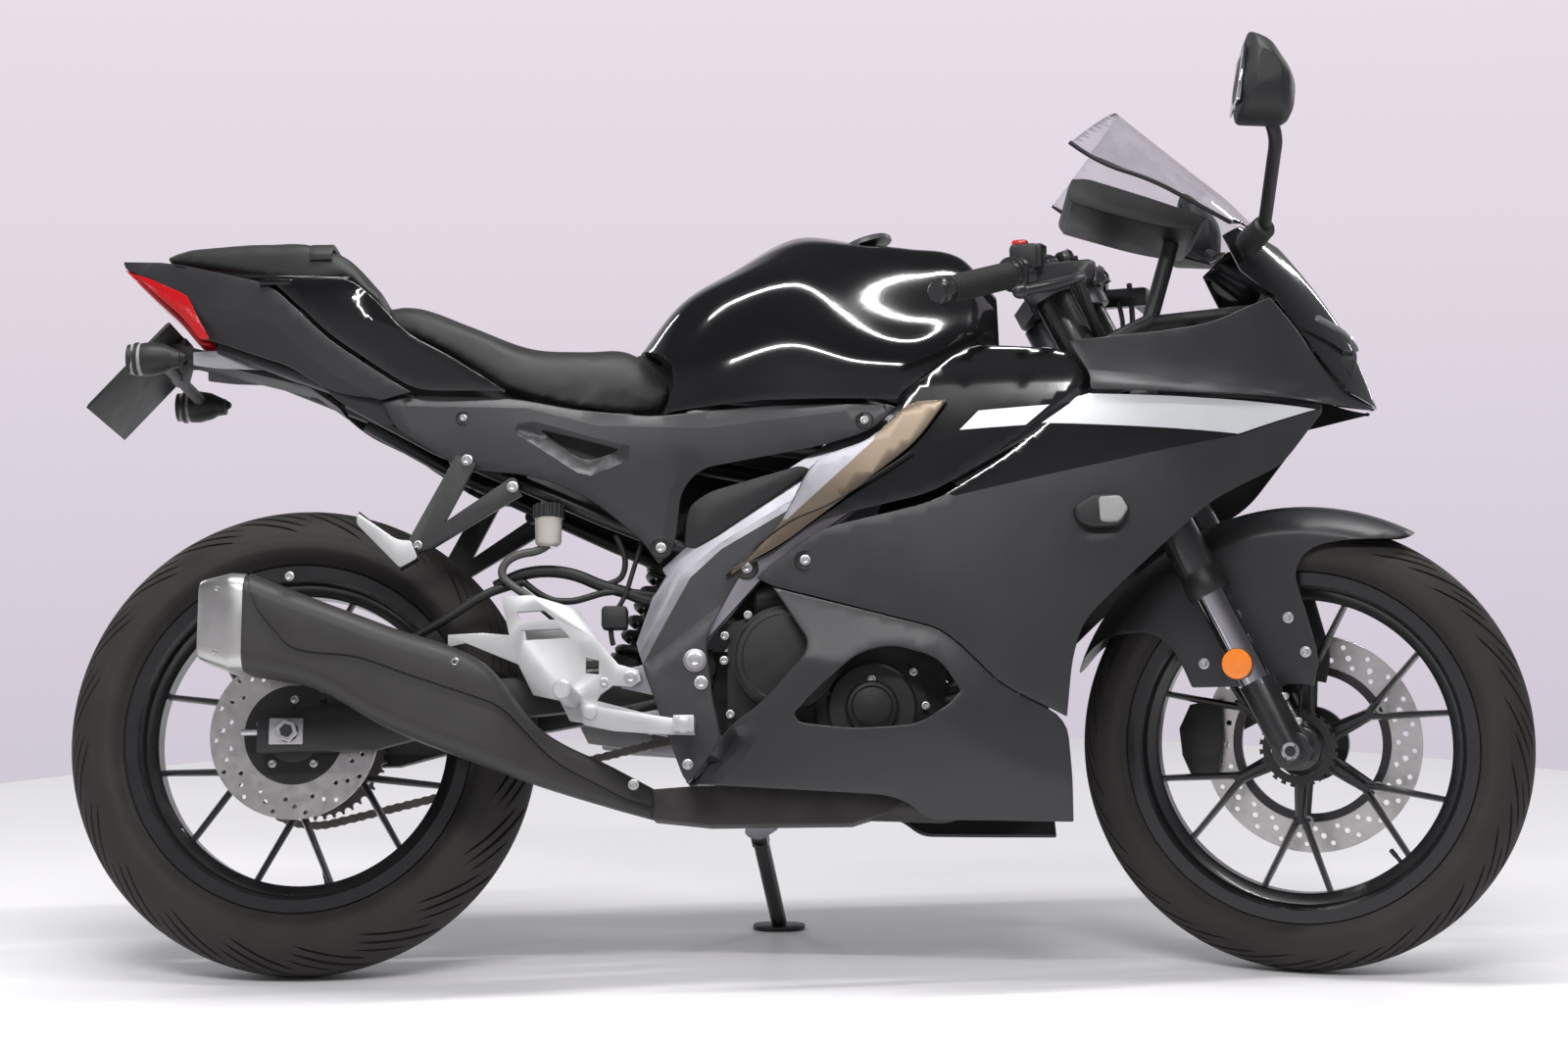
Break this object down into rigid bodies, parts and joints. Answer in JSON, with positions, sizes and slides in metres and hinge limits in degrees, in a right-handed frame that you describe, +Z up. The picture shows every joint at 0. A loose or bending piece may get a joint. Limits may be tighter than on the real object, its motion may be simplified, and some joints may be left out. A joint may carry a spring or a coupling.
{
  "type": "sport motorcycle on its side stand",
  "caption": "Faired sport motorcycle with road tyres, a single-sided exhaust, pillion seat and folding side stand, parked leaning on the stand.",
  "frame": {"origin": "bottom centre of the bounding box of the parked machine, on the ground", "axes": "+X forward, +Y to the left, +Z up; the machine leans to +Y on its side stand"},
  "size_m": [1.9141, 0.7715, 1.2144],
  "materials": {
    "tyre": "matte",
    "black_rim": "satin",
    "disc_steel": "satin",
    "fork_black": "satin",
    "clamp_alloy": "satin",
    "grey_panel": "satin",
    "gloss_black": "gloss",
    "stand_steel": "satin",
    "frame_silver": "satin",
    "arm_black": "satin",
    "engine_cast": "matte",
    "radiator_core": "matte",
    "exhaust_steel": "satin",
    "silencer_black": "matte",
    "seat_cover": "matte",
    "red_lens": "gloss",
    "black_plastic": "matte",
    "smoke_screen": "gloss",
    "alloy": "satin",
    "clear_plastic": "gloss"
  },
  "bodies": {
    "rear_wheel": {"rear_tyre": "tyre", "rear_rim": "black_rim", "rear_disc": "disc_steel", "sprocket": "disc_steel"},
    "front_wheel": {"front_tyre": "tyre", "front_rim": "black_rim", "front_disc": "disc_steel"},
    "steering": {"fork_left": "fork_black", "fork_right": "fork_black", "triple_clamps": "clamp_alloy", "handlebar_left": "fork_black", "handlebar_right": "fork_black", "front_fender": "grey_panel", "front_caliper": "fork_black"},
    "side_stand": {"side_stand": "stand_steel"},
    "chassis": {"swingarm": "arm_black", "chain": "arm_black", "main_frame": "frame_silver", "subframe": "stand_steel", "engine": "engine_cast", "radiator": "radiator_core", "exhaust_collector": "exhaust_steel", "silencer": "silencer_black", "silencer_end_cap": "exhaust_steel", "silencer_guard": "exhaust_steel", "fuel_tank": "gloss_black", "rider_seat": "seat_cover", "passenger_seat": "seat_cover", "tail_cowl": "grey_panel", "tail_side_panels": "gloss_black", "tail_light": "red_lens", "plate_holder": "black_plastic", "side_cover_left": "grey_panel", "side_cover_right": "grey_panel", "side_fairing_left": "gloss_black", "side_fairing_right": "gloss_black", "lower_cowl_left": "grey_panel", "lower_cowl_right": "grey_panel", "inner_panel_left": "gloss_black", "inner_panel_right": "gloss_black", "frame_fin_left": "frame_silver", "frame_fin_right": "frame_silver", "front_cowl_left": "grey_panel", "front_cowl_right": "grey_panel", "nose_panel": "gloss_black", "windscreen": "smoke_screen", "dash_and_stay": "black_plastic", "mirror_left": "gloss_black", "mirror_right": "gloss_black", "peg_bracket_left": "alloy", "peg_bracket_right": "alloy", "passenger_peg_left": "alloy", "passenger_peg_right": "alloy", "brake_reservoir": "clear_plastic", "rear_caliper": "fork_black"}
  },
  "joints": [
    {"name": "steering", "type": "hinge", "parent": "chassis", "child": "steering", "pos_m": [0.37854, -0.05443, 0.78856], "axis": [-0.4403, 0.2043, 0.8743], "range_deg": [-12.66, 53.34]},
    {"name": "front_wheel_spin", "type": "hinge", "parent": "steering", "child": "front_wheel", "pos_m": [0.67501, -0.18566, 0.29369], "axis": [0.3126, 0.9477, -0.0641], "continuous": true},
    {"name": "rear_wheel_spin", "type": "hinge", "parent": "chassis", "child": "rear_wheel", "pos_m": [-0.64757, -0.16714, 0.30348], "axis": [0.0005, 0.9738, -0.2273], "continuous": true},
    {"name": "side_stand", "type": "hinge", "parent": "chassis", "child": "side_stand", "pos_m": [-0.04929, -0.07601, 0.17612], "axis": [0.1392, 0.6914, 0.709], "range_deg": [0, 89.2]}
  ]
}
